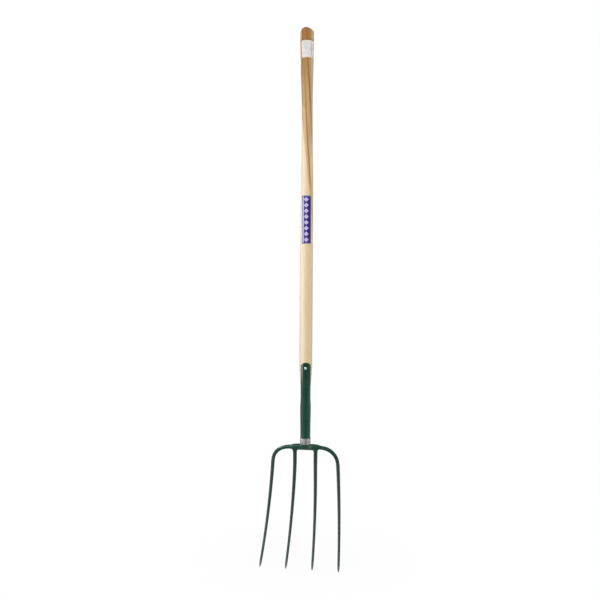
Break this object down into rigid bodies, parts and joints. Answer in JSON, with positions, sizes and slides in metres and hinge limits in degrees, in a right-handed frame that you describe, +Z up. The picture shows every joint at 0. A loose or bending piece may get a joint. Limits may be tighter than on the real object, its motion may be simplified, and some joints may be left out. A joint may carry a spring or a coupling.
{
  "type": "manure fork",
  "caption": "Long-handled manure fork: waisted ash shaft, riveted strap and ferrule, and a forged head of slim round tines curved forward to blunt points.",
  "frame": {"origin": "on the shaft's axis, in the parallel stretch of the shaft above the strap, 419 mm above the shaft's foot", "axes": "+Z up the shaft towards the butt, -Y the side that the tines curve towards, X across the head"},
  "size_m": [0.2278, 0.1228, 1.5511],
  "materials": {
    "ash_wood": "bare sanded ash, thinly waxed",
    "green_paint": "dark green dipped enamel, semi-gloss",
    "zinc_steel": "bright zinc plate, slightly mottled",
    "rivet_steel": "bright closed rivet",
    "label_paper": "plain off-white paper",
    "label_purple": "printed purple film with a plain pale border"
  },
  "bodies": {
    "root": {"shaft": "ash_wood", "ferrule": "zinc_steel", "strap": "green_paint", "strap_rivet": "rivet_steel", "rivet_burr": "zinc_steel", "crossbar": "green_paint", "left_outer_tine": "green_paint", "left_inner_tine": "green_paint", "right_inner_tine": "green_paint", "right_outer_tine": "green_paint", "paper_label": "label_paper", "purple_label": "label_purple"}
  },
  "joints": []
}
